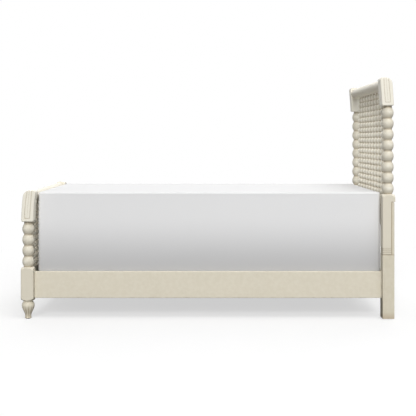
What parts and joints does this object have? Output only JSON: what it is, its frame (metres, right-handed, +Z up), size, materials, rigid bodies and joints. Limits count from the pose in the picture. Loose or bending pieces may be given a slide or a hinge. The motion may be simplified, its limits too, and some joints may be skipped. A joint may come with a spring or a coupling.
{
  "type": "panel bed",
  "caption": "Single panel bed with turned bead posts, scroll caps and bobbin spindles, side rails on hooks, slats, and a boxy covered mattress on a foundation that both lift out.",
  "frame": {"origin": "on the floor, in the middle of the bed's outline", "axes": "+X toward the headboard, +Y across the bed toward the right hand of someone lying on it, +Z up"},
  "size_m": [2.068, 1.113, 1.337],
  "materials": {
    "painted_wood": "antique cream paint, satin",
    "glazed_wood": "cream paint with a brown glaze in the flutes, satin",
    "raw_wood": "plain planed softwood",
    "zinc_steel": "zinc plated, satin",
    "screw_steel": "yellow zinc plated",
    "insert_brass": "plain",
    "glide_plastic": "matt nylon",
    "foundation_cloth": "woven cloth",
    "mattress_ticking": "quilted knit",
    "cover_cloth": "smooth plain weave"
  },
  "bodies": {
    "frame": {"headboard_post_left": "painted_wood", "headboard_post_right": "painted_wood", "headboard_cap_left": "painted_wood", "headboard_cap_right": "painted_wood", "headboard_top_rail": "painted_wood", "headboard_lower_rail": "painted_wood", "headboard_stretcher": "painted_wood", "headboard_leg_left": "painted_wood", "headboard_leg_right": "painted_wood", "headboard_spindle_1": "painted_wood", "headboard_spindle_2": "painted_wood", "headboard_spindle_3": "painted_wood", "headboard_spindle_4": "painted_wood", "headboard_spindle_5": "painted_wood", "headboard_spindle_6": "painted_wood", "headboard_spindle_7": "painted_wood", "headboard_spindle_8": "painted_wood", "headboard_spindle_9": "painted_wood", "footboard_post_left": "painted_wood", "footboard_post_right": "painted_wood", "footboard_cap_left": "painted_wood", "footboard_cap_right": "painted_wood", "footboard_top_rail": "painted_wood", "footboard_lower_rail": "painted_wood", "footboard_spindle_1": "painted_wood", "footboard_spindle_2": "painted_wood", "footboard_spindle_3": "painted_wood", "footboard_spindle_4": "painted_wood", "footboard_spindle_5": "painted_wood", "footboard_spindle_6": "painted_wood", "footboard_spindle_7": "painted_wood", "footboard_spindle_8": "painted_wood", "footboard_spindle_9": "painted_wood", "side_rail_left": "painted_wood", "side_rail_right": "painted_wood", "footboard_foot_left": "glazed_wood", "footboard_foot_right": "glazed_wood", "slat_cleat_left": "raw_wood", "slat_cleat_right": "raw_wood", "slat_1": "raw_wood", "slat_2": "raw_wood", "slat_3": "raw_wood", "slat_4": "raw_wood", "slat_5": "raw_wood", "rail_hook_brackets": "zinc_steel", "post_hook_plates": "zinc_steel", "leg_bolts": "zinc_steel", "foot_hanger_bolts": "zinc_steel", "leg_inserts": "insert_brass", "plate_screws": "screw_steel", "bracket_screws": "screw_steel", "cleat_screws": "screw_steel", "slat_screws": "screw_steel", "floor_glides": "glide_plastic"},
    "foundation": {"foundation": "foundation_cloth"},
    "mattress": {"mattress": "mattress_ticking", "mattress_cover": "cover_cloth"}
  },
  "joints": [
    {"name": "foundation_lift", "type": "slide", "parent": "frame", "child": "foundation", "axis": [0, 0, 1], "range_m": [0, 0.15]},
    {"name": "mattress_lift", "type": "slide", "parent": "foundation", "child": "mattress", "axis": [0, 0, 1], "range_m": [0, 0.22]}
  ]
}
